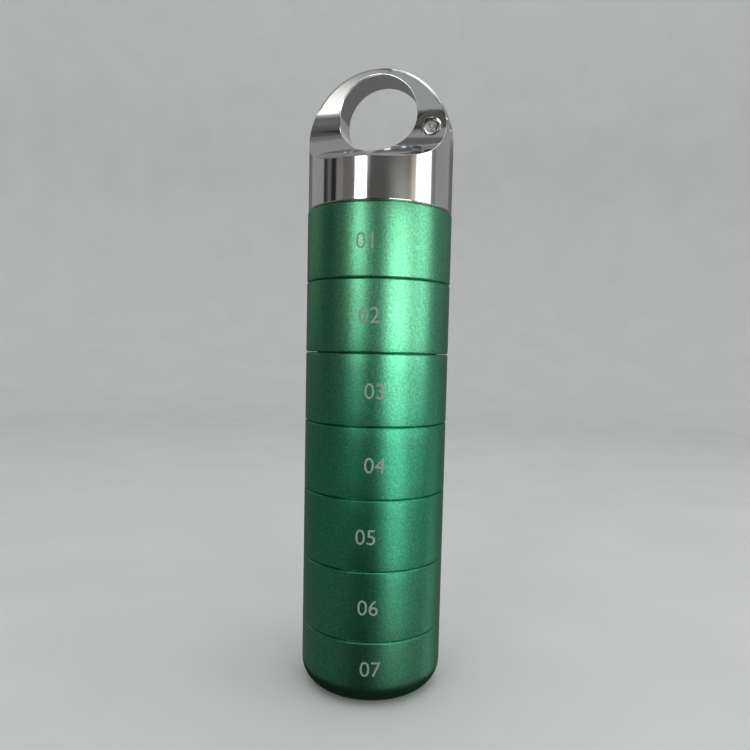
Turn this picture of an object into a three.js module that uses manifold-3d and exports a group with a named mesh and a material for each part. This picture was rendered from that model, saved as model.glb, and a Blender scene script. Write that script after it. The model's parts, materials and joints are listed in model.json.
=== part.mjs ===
// Weekly pill case: seven round aluminium cups screwed into one column, under a chrome cap
// whose domed top is milled down to a ring with a spring gate.
// Millimetres, +Z up along the column. The origin is the middle of the flat base.
// The ring stands across Y, so its hole runs along Y, and the gate is on the +X side.
import * as THREE from 'three';
import { mergeVertices } from 'three/addons/utils/BufferGeometryUtils.js';
import Module from 'manifold-3d';

const wasm = await Module();
wasm.setup();

// column of cups
const cupRadius = 15.0;
const cupPitch = 14.29;          // from seam to seam
const lastCupHeight = 13.8;      // lowest cup, from its base to its seam
const seamGap = 0.3;             // open width of each seam
const seamChamfer = 0.35;        // bevel on both lips of a seam
const footRound = 4.9;           // rounding under the lowest cup

// walls, neck and socket
const skirtWall = 1.65;          // wall round a socket
const neckWall = 1.05;
const neckHeight = 3.7;
const threadLength = 3.0;        // threaded stretch under the rim of a neck
const reliefDepth = 0.35;        // plain groove between the thread and the shoulder
const rimChamfer = 0.3;
const innerRimChamfer = 0.15;
const mouthChamfer = 0.3;        // lead-in at the mouth of a socket
const floorThickness = 1.3;
const lastFloorThickness = 2.2;
const floorFillet = 1.2;
const gasketThickness = 0.8;
const runningGap = 0.3;          // clearance between two pieces that meet

// cap, dome and ring
const capStep = 0.1;             // the cap is this much smaller in radius than the cups
const domeRise = 14.05;          // from the cap's seam up to the middle of the dome
const collarRise = 8.12;         // lowest point of the scoops above the cap's seam
const scoopRadius = 12.27;       // hollow run-out between the ring's flats and the collar
const ringThickness = 7.2;
const ringBand = 1.8;            // metal between the hole and the top of the dome
const holeRadius = 8.0;
const ringBevel = 0.5;           // bevel along the outer edge of the ring's flats

// gate, its knuckle, pin and spring
const knuckleRadius = 3.4;
const slotWidth = 4.4;
const tongueThickness = 1.7;
const pinRadius = 1.25;
const pinHeadRadius = 1.8;
const pinHeadThickness = 0.9;
const pinHeadChamfer = 0.2;
const pinRecess = 0.15;          // how far the pin's ends lie inside the scooped faces
const wireRadius = 0.2;
const coilPitch = 0.55;
const springTurns = 2.5;
const noseReach = 0.6;           // the gate's seam starts this far past the top of the hole
const noseRun = 7.2;             // length of the cut that parts the gate's nose from the ring
const overrun = 2.0;             // how far a cutter runs past what it cuts

const pinAngle = THREE.MathUtils.degToRad(-14.8);     // seen from the middle of the hole
const seamAngle = THREE.MathUtils.degToRad(17.5);     // slope of the gate's nose
const shoulderAngle = THREE.MathUtils.degToRad(18);   // the gate ends here, round the pin
const knuckleEndAngle = THREE.MathUtils.degToRad(160);
const tongueFrom = THREE.MathUtils.degToRad(48);
const tongueTo = THREE.MathUtils.degToRad(144);
const faceReachShare = 1.4;      // the pin lies about this share of the hole's radius out

// how finely round forms are divided
const turnSegments = 36;
const capSegments = 44;
const arcSteps = 3;
const domeSteps = 12;
const scoopSteps = 12;
const holeSegments = 44;
const pinSegments = 20;
const coilSteps = 8;
const wireSides = 6;
const weldDistance = 1e-5;

// heights inside one cup, measured from its lower seam
const skirt = seamGap / 2;
const gasketBase = neckHeight - skirt + runningGap;
const ceiling = gasketBase + gasketThickness + runningGap;
const socketRadius = cupRadius - skirtWall;
const neckRadius = socketRadius - runningGap;
const boreRadius = neckRadius - neckWall;
const capRadius = cupRadius - capStep;
const domeTop = domeRise + capRadius;
const scoopRise = collarRise + scoopRadius;
const flatHalf = ringThickness / 2;
const holeRise = domeTop - ringBand - holeRadius;

function pointsOnArc(centreA, centreB, radius, from, to, steps) {
  return Array.from({ length: steps + 1 }, (_, i) => {
    const angle = from + ((to - from) * i) / steps;
    return [centreA + radius * Math.cos(angle), centreB + radius * Math.sin(angle)];
  });
}

// A closed mesh as a solid: shared corners are merged and slivers without area are dropped.
function solidOf(geometry) {
  const bare = new THREE.BufferGeometry();
  bare.setAttribute('position', geometry.getAttribute('position'));
  if (geometry.index) bare.setIndex(geometry.index);
  const merged = mergeVertices(bare, weldDistance);
  const corners = merged.index.array;
  const triangles = [];
  for (let i = 0; i < corners.length; i += 3) {
    const [a, b, c] = corners.slice(i, i + 3);
    if (a !== b && b !== c && c !== a) triangles.push(a, b, c);
  }
  return new wasm.Manifold(new wasm.Mesh({
    numProp: 3,
    vertProperties: new Float32Array(merged.getAttribute('position').array),
    triVerts: new Uint32Array(triangles),
  }));
}

// A profile of [radius, height] points turned about the column's axis.
function turned(profile, segments) {
  const points = profile.map(([radius, height]) => new THREE.Vector2(radius, height));
  return solidOf(new THREE.LatheGeometry(points, segments).rotateX(Math.PI / 2));
}

// A profile of [radius, y] points turned about an axis along Y at [x, z].
function turnedAcross(profile, [x, z], segments) {
  const points = profile.map(([radius, y]) => new THREE.Vector2(radius, y));
  return solidOf(new THREE.LatheGeometry(points, segments).translate(x, 0, z));
}

// An outline of [x, z] points carried along Y between two planes.
function plate(outline, yFrom, yTo) {
  const shape = new THREE.Shape(outline.map(([x, z]) => new THREE.Vector2(x, z)));
  const geometry = new THREE.ExtrudeGeometry(shape, { depth: yTo - yFrom, bevelEnabled: false });
  return solidOf(geometry.rotateX(Math.PI / 2).translate(0, yTo, 0));
}

// A round bar along Y, centred on [x, z].
function crossBar(radius, [x, z], yFrom, yTo, segments) {
  return turnedAcross([[0, yFrom], [radius, yFrom], [radius, yTo], [0, yTo]], [x, z], segments);
}

function meshOf(solid, name, material, height = 0) {
  const { vertProperties, triVerts } = solid.getMesh();
  const geometry = new THREE.BufferGeometry();
  geometry.setAttribute('position', new THREE.BufferAttribute(vertProperties, 3));
  geometry.setIndex(new THREE.BufferAttribute(triVerts, 1));
  geometry.computeVertexNormals();
  const mesh = new THREE.Mesh(geometry, material);
  mesh.name = name;
  mesh.position.z = height;
  return mesh;
}

// Female end under a cup or the cap, from the axis out to the lip of the skirt.
function socketProfile(lipRadius) {
  return [
    [0, ceiling],
    [socketRadius, ceiling],
    [socketRadius, skirt + mouthChamfer],
    [socketRadius + mouthChamfer, skirt],
    [lipRadius - seamChamfer, skirt],
    [lipRadius, skirt + seamChamfer],
  ];
}

// Upper lip, male neck and compartment, from the outer wall in to the floor on the axis.
function neckProfile(seamHeight, floorTop) {
  const shoulder = seamHeight - skirt;
  const rim = shoulder + neckHeight;
  const reliefTop = rim - threadLength;
  return [
    [cupRadius, shoulder - seamChamfer],
    [cupRadius - seamChamfer, shoulder],
    [neckRadius - reliefDepth, shoulder],
    [neckRadius - reliefDepth, reliefTop - reliefDepth],
    [neckRadius, reliefTop],
    [neckRadius, rim - rimChamfer],
    [neckRadius - rimChamfer, rim],
    [boreRadius + innerRimChamfer, rim],
    [boreRadius, rim - innerRimChamfer],
    ...pointsOnArc(boreRadius - floorFillet, floorTop + floorFillet, floorFillet, 0, -Math.PI / 2, arcSteps),
    [0, floorTop],
  ];
}

function cupSolid() {
  const profile = [...socketProfile(cupRadius), ...neckProfile(cupPitch, ceiling + floorThickness)];
  return turned(profile, turnSegments);
}

function lastCupSolid() {
  const foot = pointsOnArc(cupRadius - footRound, footRound, footRound, -Math.PI / 2, 0, 2 * arcSteps);
  return turned([[0, 0], ...foot, ...neckProfile(lastCupHeight, lastFloorThickness)], turnSegments);
}

// Flat washer held in the ceiling of a socket, over the rim of the neck below.
function gasketSolid() {
  const outer = neckRadius;
  const inner = boreRadius;
  const top = gasketBase + gasketThickness;
  const section = [[inner, gasketBase], [outer, gasketBase], [outer, top], [inner, top], [inner, gasketBase]];
  return turned(section, turnSegments);
}

// Collar, socket and full dome, before the ring is milled out of it.
function capBlank() {
  const dome = pointsOnArc(0, domeRise, capRadius, 0, Math.PI / 2, domeSteps).slice(0, -1);
  return turned([...socketProfile(capRadius), ...dome, [0, domeTop]], capSegments);
}

// What is milled away in front of the ring: flat above, then a hollow arc run out over the collar.
function scoopCutter() {
  const arcCentre = flatHalf + scoopRadius;
  const arc = pointsOnArc(arcCentre, scoopRise, scoopRadius, Math.PI, 1.5 * Math.PI, scoopSteps);
  const outside = arcCentre + overrun;
  const above = domeTop + overrun;
  const outline = [[flatHalf, above], ...arc, [outside, collarRise], [outside, above]];
  const shape = new THREE.Shape(outline.map(([y, z]) => new THREE.Vector2(y, z)));
  const length = 2 * (capRadius + overrun);
  const geometry = new THREE.ExtrudeGeometry(shape, { depth: length, bevelEnabled: false });
  const turnIntoPlace = new THREE.Matrix4().makeBasis(
    new THREE.Vector3(0, 1, 0), new THREE.Vector3(0, 0, 1), new THREE.Vector3(1, 0, 0));
  return solidOf(geometry.applyMatrix4(turnIntoPlace).translate(-length / 2, 0, 0));
}

// A cone round the ring's outer edge, kept to the flat stretch above the scoops.
function bevelCutter() {
  const edge = Math.sqrt(capRadius ** 2 - flatHalf ** 2);
  const outside = edge + ringBevel + overrun;
  const section = [
    [edge - ringBevel, flatHalf],
    [edge + ringBevel, flatHalf - 2 * ringBevel],
    [outside, flatHalf - 2 * ringBevel],
    [outside, flatHalf + ringBevel],
    [edge - ringBevel, flatHalf + ringBevel],
    [edge - ringBevel, flatHalf],
  ];
  const cone = turnedAcross(section, [0, domeRise], 2 * capSegments);
  const reach = 2 * (capRadius + overrun);
  const above = new THREE.BoxGeometry(reach, reach, reach).translate(0, 0, scoopRise + reach / 2);
  return cone.intersect(solidOf(above));
}

// Middle of the metal between the hole and the dome, seen from the hole at the pin's angle.
function pinPlace() {
  const [across, up] = [Math.cos(pinAngle), Math.sin(pinAngle)];
  const lift = holeRise - domeRise;
  const half = lift * up;
  const faceDepth = faceHalfAt(holeRise + faceReachShare * holeRadius * up);
  const reach = -half + Math.sqrt(half ** 2 + capRadius ** 2 - faceDepth ** 2 - lift ** 2);
  const distance = (holeRadius + reach) / 2;
  return [distance * across, holeRise + distance * up];
}

// Half thickness of the ring at a height: flat above, then the hollow arc.
function faceHalfAt(height) {
  if (height >= scoopRise) return flatHalf;
  return flatHalf + scoopRadius - Math.sqrt(scoopRadius ** 2 - (height - scoopRise) ** 2);
}

const pin = pinPlace();
const faceAtPin = faceHalfAt(pin[1]);

// The side of the ring that swings: outside a circle round the pin, and under the nose seam,
// which is moved by lift along its normal.
function gateRegion(hingeRadius, lift) {
  const noseStart = [noseReach - lift * Math.sin(seamAngle), holeRise + holeRadius + lift * Math.cos(seamAngle)];
  const alongNose = (distance) => [
    noseStart[0] + distance * Math.cos(seamAngle),
    noseStart[1] + distance * Math.sin(seamAngle),
  ];
  const far = capRadius + overrun;
  const shoulder = shoulderAngle - lift / hingeRadius;
  const farEdge = [far, pin[1] + (far - pin[0]) * Math.tan(shoulder)];
  const round = pointsOnArc(...pin, hingeRadius, shoulder, knuckleEndAngle, scoopSteps);
  const outline = [
    [holeRadius / 2, round.at(-1)[1]],
    alongNose(-ringBand),
    alongNose(noseRun),
    [far, domeTop],
    farEdge,
    ...round,
  ].reverse();
  return plate(outline, -far, far);
}

// Counterbore for one end of the pin, on the side given by sign.
function counterbore(sign) {
  const floor = faceAtPin - pinRecess - pinHeadThickness - runningGap;
  const out = capRadius + overrun;
  const radius = pinHeadRadius + runningGap;
  return crossBar(radius, pin, Math.min(sign * floor, sign * out), Math.max(sign * floor, sign * out), pinSegments);
}

function milledDome() {
  const front = scoopCutter();
  const back = front.mirror([0, 1, 0]);
  const bevel = bevelCutter();
  const far = capRadius + overrun;
  const hole = crossBar(holeRadius, [0, holeRise], -far, far, holeSegments);
  return capBlank().subtract(front).subtract(back).subtract(hole)
    .subtract(bevel).subtract(bevel.mirror([0, 1, 0]));
}

function capSolid(dome) {
  const slotHalf = slotWidth / 2;
  const slot = crossBar(knuckleRadius + runningGap, pin, -slotHalf, slotHalf, capSegments);
  const far = capRadius + overrun;
  const pinHole = crossBar(pinRadius + runningGap / 2, pin, -far, far, pinSegments);
  return dome.subtract(gateRegion(knuckleRadius, runningGap)).subtract(slot).subtract(pinHole)
    .subtract(counterbore(1)).subtract(counterbore(-1));
}

// The arc that swings, with a thin tongue that reaches into the slot and round the pin.
function gateSolid(dome) {
  const arc = dome.intersect(gateRegion(knuckleRadius + runningGap, 0));
  const yTo = slotWidth / 2 - runningGap;
  const yFrom = yTo - tongueThickness;
  const eye = crossBar(knuckleRadius - runningGap, pin, yFrom, yTo, capSegments);
  const reach = knuckleRadius + 2 * runningGap;
  const stem = plate([pin, ...pointsOnArc(...pin, reach, tongueFrom, tongueTo, 2 * arcSteps)], yFrom, yTo);
  const bore = crossBar(pinRadius + runningGap, pin, -slotWidth, slotWidth, pinSegments);
  return arc.add(eye.add(stem)).subtract(bore);
}

// Rivet through both cheeks, with a flat head in each counterbore.
function pinSolid() {
  const end = faceAtPin - pinRecess;
  const neck = end - pinHeadThickness;
  return turnedAcross([
    [0, -end],
    [pinHeadRadius - pinHeadChamfer, -end],
    [pinHeadRadius, -end + pinHeadChamfer],
    [pinHeadRadius, -neck],
    [pinRadius, -neck],
    [pinRadius, neck],
    [pinHeadRadius, neck],
    [pinHeadRadius, end - pinHeadChamfer],
    [pinHeadRadius - pinHeadChamfer, end],
    [0, end],
  ], pin, pinSegments);
}

// Torsion spring beside the tongue: a helix round the pin with a short leg at each end.
function springSolid() {
  const coilRadius = pinRadius + runningGap + wireRadius;
  const legEnd = knuckleRadius - runningGap - wireRadius;
  const start = -slotWidth / 2 + runningGap + wireRadius;
  const steps = Math.round(springTurns * coilSteps);
  const onCoil = (i, radius) => {
    const angle = Math.PI / 2 - (2 * Math.PI * i) / coilSteps;
    const y = start + (coilPitch * i) / coilSteps;
    return new THREE.Vector3(pin[0] + radius * Math.cos(angle), y, pin[1] + radius * Math.sin(angle));
  };
  const coil = Array.from({ length: steps + 1 }, (_, i) => onCoil(i, coilRadius));
  const path = new THREE.CatmullRomCurve3([onCoil(-1, legEnd), ...coil, onCoil(steps + 1, legEnd)]);
  const section = new THREE.Shape(
    pointsOnArc(0, 0, wireRadius, 0, 2 * Math.PI, wireSides).slice(0, -1).map(([a, b]) => new THREE.Vector2(a, b)));
  return solidOf(new THREE.ExtrudeGeometry(section, { steps: 2 * steps, extrudePath: path, bevelEnabled: false }));
}

const anodised = new THREE.MeshStandardMaterial({ color: '#3f8f6a', roughness: 0.38, metalness: 0.9 });
const chrome = new THREE.MeshStandardMaterial({ color: '#d4d6d8', roughness: 0.06, metalness: 1 });
const steel = new THREE.MeshStandardMaterial({ color: '#9c9fa2', roughness: 0.3, metalness: 1 });
const rubber = new THREE.MeshStandardMaterial({ color: '#1f2021', roughness: 0.85, metalness: 0 });

const pillCase = new THREE.Group();
pillCase.add(meshOf(lastCupSolid(), 'saturday_cup', anodised));
const cup = cupSolid();
const gasket = gasketSolid();
const days = ['friday', 'thursday', 'wednesday', 'tuesday', 'monday', 'sunday'];
days.forEach((day, i) => {
  const seam = lastCupHeight + i * cupPitch;
  pillCase.add(meshOf(cup, `${day}_cup`, anodised, seam));
  pillCase.add(meshOf(gasket, `${day}_gasket`, rubber, seam));
});

const capGroup = new THREE.Group();
capGroup.position.z = lastCupHeight + days.length * cupPitch;
const dome = milledDome();
capGroup.add(meshOf(gasket, 'cap_gasket', rubber));
capGroup.add(meshOf(capSolid(dome), 'ring_cap', chrome));
capGroup.add(meshOf(gateSolid(dome), 'gate', chrome));
capGroup.add(meshOf(pinSolid(), 'gate_pin', steel));
capGroup.add(meshOf(springSolid(), 'gate_spring', steel));
pillCase.add(capGroup);

export default pillCase;
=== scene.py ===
import json
import math

import bmesh
import bpy
import numpy as np
from mathutils import Matrix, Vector
from mathutils.bvhtree import BVHTree


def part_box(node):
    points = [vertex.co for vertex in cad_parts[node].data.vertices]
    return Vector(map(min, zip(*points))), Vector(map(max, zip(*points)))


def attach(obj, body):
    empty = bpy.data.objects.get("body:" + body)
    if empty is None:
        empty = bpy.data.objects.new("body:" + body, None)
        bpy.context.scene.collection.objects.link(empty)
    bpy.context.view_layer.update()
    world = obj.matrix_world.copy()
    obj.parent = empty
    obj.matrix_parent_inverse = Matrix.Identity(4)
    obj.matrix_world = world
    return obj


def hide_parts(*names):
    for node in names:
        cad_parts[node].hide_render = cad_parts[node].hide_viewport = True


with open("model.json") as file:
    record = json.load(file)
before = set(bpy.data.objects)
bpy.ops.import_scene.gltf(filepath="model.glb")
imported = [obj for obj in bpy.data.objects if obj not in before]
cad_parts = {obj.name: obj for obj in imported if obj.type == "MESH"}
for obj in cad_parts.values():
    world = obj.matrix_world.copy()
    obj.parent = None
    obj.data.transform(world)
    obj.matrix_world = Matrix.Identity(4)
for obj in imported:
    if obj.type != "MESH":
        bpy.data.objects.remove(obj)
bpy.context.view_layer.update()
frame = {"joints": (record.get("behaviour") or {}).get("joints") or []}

# The case's lengths are in millimetres, and a mesh is brought to metres when it is placed. The stage and the
# screens are in metres.
MM = 0.001

# Stands in for a length or an area of nothing, so that it can be divided by
TINY = 1e-18

# The cups from the lowest up, as the joints call them
DAYS = ["saturday", "friday", "thursday", "wednesday", "tuesday", "monday", "sunday"]
joint_of = {joint["name"]: joint for joint in frame["joints"]}


def seam_under(piece):
    """Height of the seam under a cup or the cap: the place of its screw joint."""
    return joint_of[piece + "_turn"]["pos_m"][2] / MM


SEAM = {day: seam_under(day) for day in DAYS[1:] + ["cap"]}
SEAM["saturday"] = 0.0
CUP_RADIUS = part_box("saturday_cup")[1].x / MM
CUP_PITCH = SEAM["thursday"] - SEAM["friday"]
LAST_CUP_HEIGHT = SEAM["friday"]
CAP_SEAM = SEAM["cap"]
CAP_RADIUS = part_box("ring_cap")[1].x / MM
DOME_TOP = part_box("ring_cap")[1].z / MM - CAP_SEAM
DOME_RISE = DOME_TOP - CAP_RADIUS
PIN_X = joint_of["gate_swing"]["pos_m"][0] / MM
PIN_Z = joint_of["gate_swing"]["pos_m"][2] / MM - CAP_SEAM

# Cups: seam, walls, neck and socket
SEAM_HALF = 0.05
LIP_BEVEL = 0.26
LIP_ROUND = 0.1
SMALL_ROUND = 0.08
FOOT_ROUND = 4.9
BORE_RADIUS = 12.0
NECK_RISE = 3.55
NECK_ROOT = 12.72
THREAD_DEPTH = 0.26
THREAD_GAP = 0.1
SOCKET_RADIUS = NECK_ROOT + THREAD_DEPTH + THREAD_GAP
THREAD_PITCH = 1.5
THREAD_FROM = 0.65
THREAD_TO = 3.2
THREAD_RUN_OUT = 0.3
RIDGE_SWING = 0.85
RELIEF_RADIUS = 12.62
RELIEF_TOP = 0.5
RIM_BEVEL = 0.3
MOUTH_BEVEL = 0.35
CEILING = 4.95
FLOOR_THICKNESS = 1.3
LAST_FLOOR_THICKNESS = 2.2
FLOOR_ROUND = 1.2
COLUMNS_ROUND_A_CUP = 240
THREAD_ROW = 0.085
CAP_THREAD_ROW = 0.12
PLAIN_ROW = 3.0
ROUND_STEPS = 6
FOOT_ROUND_STEPS = 14
CUP_SHARP_OVER = math.radians(38)

# Gaskets
GASKET_BASE = 3.85
GASKET_THICKNESS = 0.8
GASKET_WIDTH = 1.05
GASKET_ROUND = 0.2

# Cap: ring, hole and scoops
FLAT_HALF = 3.6
SCOOP_RADIUS = 12.27
COLLAR_RISE = 8.12
SCOOP_RISE = COLLAR_RISE + SCOOP_RADIUS
HOLE_RADIUS = 8.0
RING_BAND = 1.8
HOLE_RISE = DOME_TOP - RING_BAND - HOLE_RADIUS
HOLE_EDGE_ROUND = 0.26
OUTER_EDGE_ROUND = 0.1
BEVEL_BALL = 0.52
BEVEL_FADE = 1.1
SPLIT_RISE = 12.0
COLUMNS_ROUND_THE_CAP = 336
FACE_REACH_SHARE = 1.6
FACE_ROWS = 40
HOLE_EDGE_ROWS = 7
HOLE_WALL_ROWS = 25
OUTER_EDGE_ROWS = 11
DOME_ROWS = 41
COLLAR_ROWS = 26
CHORD_END_SHARE = 0.12
HALVINGS = 48
WELD_DISTANCE = 1e-4

# Gate, its knuckle, pin and spring
KNUCKLE_RADIUS = 3.4
GATE_GAP = 0.08
SLOT_HALF = 2.2
SLOT_RADIUS = 3.7
TONGUE_RADIUS = 3.1
TONGUE_FROM_Y = 0.2
TONGUE_TO_Y = 1.9
STEM_RADIUS = 4.0
STEM_ANGLES = (math.radians(48), math.radians(144))
GATE_END_RADIUS = 3.62
GATE_END_ANGLES = (math.radians(125), math.radians(175))
PIN_RADIUS = 1.25
PIN_HEAD_RADIUS = 1.74
PIN_HEAD_THICKNESS = 0.9
PIN_HEAD_ROUND = 0.45
PIN_RECESS = 0.22
PIN_ROW = 0.6
PIN_SIDES = 96
COUNTERBORE_RADIUS = 2.06
GATE_BORE_RADIUS = 1.45
WIRE_RADIUS = 0.2
COIL_PITCH = 0.55
SPRING_TURNS = 2.5
SPRING_LEG_TURNS = 0.1
SPRING_LEG_CURVE = 1.5
SPRING_STEPS = 150
SPRING_LEG_STEPS = 10
WIRE_SIDES = 16
RUNNING_GAP = 0.3
NOSE_REACH = 0.6
SEAM_SLOPE = math.radians(17.5)
SHOULDER_ANGLE = math.radians(18)
KNUCKLE_END_ANGLE = math.radians(160)
KNUCKLE_STEPS = 72
ARC_STEPS = 24
BEYOND = 3.0

# How near a cut face has to lie to a surface, and the cosine it has to agree by, to take that one's normals
SAME_SURFACE = 2e-3
SAME_WAY = 0.99
SAME_ROUND_WAY = 0.995

# Numbers marked on the cups
NUMBER_HEIGHT = 3.05
NUMERAL_SHARE = 0.7
STRIP_WIDTH = 0.25
NUMBER_PROUD = 0.012
NUMBER_DEPTH = 0.05
NUMBER_SHARP_OVER = math.radians(30)
TEXT_WELD = 1e-5
ON_THE_CUT = 1e-6

# Each number's azimuth in degrees, from the front towards +X: the cups stop at slightly different turns
NUMBER_AZIMUTHS = {"sunday": 2.7, "monday": 7.2, "tuesday": 12.2, "wednesday": 13.5, "thursday": 7.7,
                   "friday": 10.6, "saturday": 13.5}

# Height of each number's middle above the seam under its cup
NUMBER_MIDDLES = {"sunday": 6.9, "monday": 7.2, "tuesday": 7.0, "wednesday": 6.9, "thursday": 7.0,
                  "friday": 7.1, "saturday": 8.4}

# Dark disc that the foot mirrors
SHADE_RADIUS = 19.5
SHADE_DEPTH = 0.05
SHADE_SIDES = 64
SHADE_GREY = 0.016

# Floor, its bend and its wall
FLOOR_RADIUS = 0.55
FLOOR_MIDDLE = 0.02
BEND_RADIUS = 0.35
BEND_STEPS = 24
WALL_TOP = 0.9
STAGE_SIDES = 128

# Columns and rows of points in a lamp and in a plain screen
LAMP_GRID = (13, 7)
SCREEN_GRID = (49, 25)

# The photograph's camera, with the frame taken as 750 by 750 pixels
PHOTO_SIDE = 750
FOCAL_PIXELS = 646.99
AXIS_PIXEL_X = 380.0
AXIS_PIXEL_Y = 405.0
CAMERA_DISTANCE = 138.603
CAMERA_HEIGHT = 71.196
CAMERA_AZIMUTH = math.radians(13.5)
CAMERA_TURNS = [math.radians(-4.685), math.radians(-0.263), math.radians(-1.28)]


def round_turn(steps):
    """Angles in even steps round a whole turn."""
    return np.linspace(0, 2 * math.pi, steps, endpoint=False)


def points_of(x, y, z):
    """Points from three coordinates, each a number or an array, spread out to one shape."""
    return np.stack(np.broadcast_arrays(x, y, z), -1)


def unit(vectors):
    """Each vector brought to length 1."""
    return vectors / np.maximum(np.linalg.norm(vectors, axis=-1, keepdims=True), TINY)


def corners_rounded(corners, steps=4):
    """A profile through corners [radius, height, rounding]. Each rounded corner becomes an arc that touches
    both of its sides: the arc's centre lies on the bisector, rounding / sin(half the corner's angle) away."""
    points = []
    for i, (radius, height, rounding) in enumerate(corners):
        here = np.array([radius, height], float)
        if rounding == 0 or i in (0, len(corners) - 1):
            points.append(here)
            continue
        before = np.array(corners[i - 1][:2], float) - here
        after = np.array(corners[i + 1][:2], float) - here
        before /= np.linalg.norm(before)
        after /= np.linalg.norm(after)
        half = math.acos(np.clip(before @ after, -1, 1)) / 2
        middle = (before + after) / np.linalg.norm(before + after)
        centre = here + middle * rounding / math.sin(half)
        start = here + before * rounding / math.tan(half) - centre
        end = here + after * rounding / math.tan(half) - centre
        whole = math.atan2(start[0] * end[1] - start[1] * end[0], start @ end)
        for turn in np.linspace(0, whole, steps + 1):
            c, s = math.cos(turn), math.sin(turn)
            points.append(centre + [c * start[0] - s * start[1], s * start[0] + c * start[1]])
    return np.array(points)


def filled_in(profile, spacing):
    """The same profile with points added so that no straight step is longer than spacing."""
    parts = [profile[:1]]
    for a, b in zip(profile[:-1], profile[1:]):
        count = max(1, math.ceil(np.linalg.norm(b - a) / spacing))
        share = np.arange(1, count + 1)[:, None] / count
        parts.append(a + (b - a) * share)
    return np.concatenate(parts)


def grid_faces(rows, columns, wrap):
    """Corner numbers of the quads of a grid stored row by row. A quad goes along a row, then to the next."""
    r = np.arange(rows - 1)[:, None]
    c = np.arange(columns if wrap else columns - 1)[None, :]
    right = (c + 1) % columns
    quads = [r * columns + c, r * columns + right, (r + 1) * columns + right, (r + 1) * columns + c]
    return np.stack([np.broadcast_to(q, (rows - 1, c.shape[1])) for q in quads], -1).reshape(-1, 4)


def mesh_from(name, points, faces):
    """A mesh from an array of points and a list of face arrays, each with its own number of corners."""
    mesh = bpy.data.meshes.new(name)
    corners = np.concatenate([f.ravel() for f in faces]).astype(np.int32)
    totals = np.concatenate([np.full(len(f), f.shape[1]) for f in faces]).astype(np.int32)
    starts = np.concatenate([[0], np.cumsum(totals)[:-1]]).astype(np.int32)
    mesh.vertices.add(len(points))
    mesh.vertices.foreach_set("co", np.asarray(points, np.float32).ravel())
    mesh.loops.add(len(corners))
    mesh.loops.foreach_set("vertex_index", corners)
    mesh.polygons.add(len(totals))
    mesh.polygons.foreach_set("loop_start", starts)
    mesh.polygons.foreach_set("loop_total", totals)
    mesh.update(calc_edges=True)
    mesh.validate()
    mesh.shade_smooth()
    return mesh


def linked(name, data):
    """A new object at the scene's origin."""
    obj = bpy.data.objects.new(name, data)
    bpy.context.scene.collection.objects.link(obj)
    return obj


def worked_out(obj):
    """The mesh that an object's modifiers, or its text, come to."""
    bpy.context.view_layer.update()
    return bpy.data.meshes.new_from_object(obj.evaluated_get(bpy.context.evaluated_depsgraph_get()))


def placed(mesh, name, rise=0.0, sharp_over=None):
    """An object at the origin whose mesh is brought from millimetres to metres, rise above the base."""
    mesh.transform(Matrix.Translation((0, 0, rise * MM)) @ Matrix.Scale(MM, 4))
    if sharp_over is not None:
        mesh.set_sharp_from_angle(angle=sharp_over)
    return linked(name, mesh)


def ridge(share):
    """Height of a thread's ridge, 0 to 1, at a share of its pitch: a cosine wave clipped to a flat crest
    and root."""
    return np.clip(0.5 + RIDGE_SWING * np.cos(2 * math.pi * share), 0, 1)


def fading(height, low, high):
    """1 between low and high, falling to 0 over the thread's run-out inside each end."""
    rising = np.clip((height - low) / THREAD_RUN_OUT, 0, 1)
    falling = np.clip((high - height) / THREAD_RUN_OUT, 0, 1)
    return np.minimum(rising, falling)


def with_threads(profile, angles, socket_seam, neck_seam):
    """Radius over a grid of profile rows and angles. Neck rows swell by the ridge of a right-hand helix, and
    socket rows close in where that ridge is low, so the two stay a constant gap apart on the same helix."""
    radius = np.repeat(profile[:, :1], len(angles), 1)
    height = profile[:, 1:]
    for seam, level, low_side in ((neck_seam, NECK_ROOT, False), (socket_seam, SOCKET_RADIUS, True)):
        if seam is None:
            continue
        above = height - seam
        weight = fading(above, THREAD_FROM, THREAD_TO) * np.isclose(profile[:, :1], level)
        wave = ridge((above - THREAD_PITCH * angles[None, :] / (2 * math.pi)) / THREAD_PITCH)
        radius += THREAD_DEPTH * weight * (wave - 1 if low_side else wave)
    return radius


def about_axis(radius, height, angles):
    """Points at each angle: x = radius cos(angle), y = radius sin(angle), z = height."""
    return points_of(radius * np.cos(angles), radius * np.sin(angles), height)


def closed_tube(rings, ends):
    """Points and faces of a row of rings, with each end closed by a fan round a point of its own."""
    along, around = rings.shape[:2]
    count = along * around
    here = np.arange(around)
    beside = np.roll(here, -1)
    last = count - around
    first_fan = np.stack([np.full_like(here, count), beside, here], -1)
    last_fan = np.stack([last + here, last + beside, np.full_like(here, count + 1)], -1)
    points = np.concatenate([rings.reshape(-1, 3), ends])
    return points, [grid_faces(along, around, True), first_fan, last_fan]


def turned(profile, angles, radius=None):
    """Surface of a profile turned about the axis, on which the profile starts and ends."""
    inner = profile[1:-1]
    rings = about_axis(inner[:, :1] if radius is None else radius[1:-1], inner[:, 1:], angles)
    return closed_tube(rings, [[0, 0, profile[0, 1]], [0, 0, profile[-1, 1]]])


def ring_turned(section, angles):
    """A closed section [radius, height] turned about the axis into a ring."""
    points = about_axis(section[:, :1], section[:, 1:], angles).reshape(-1, 3)
    return points, [grid_faces(len(section) + 1, len(angles), True) % len(points)]


def rows_along(profile, walls, wall_row):
    """The profile filled in finely along its threaded walls and coarsely elsewhere."""
    rows = [profile[:1]]
    for i in range(1, len(profile)):
        spacing = wall_row if walls[i] and walls[i - 1] else PLAIN_ROW
        rows.append(filled_in(profile[i - 1:i + 1], spacing)[1:])
    return np.concatenate(rows)


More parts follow.
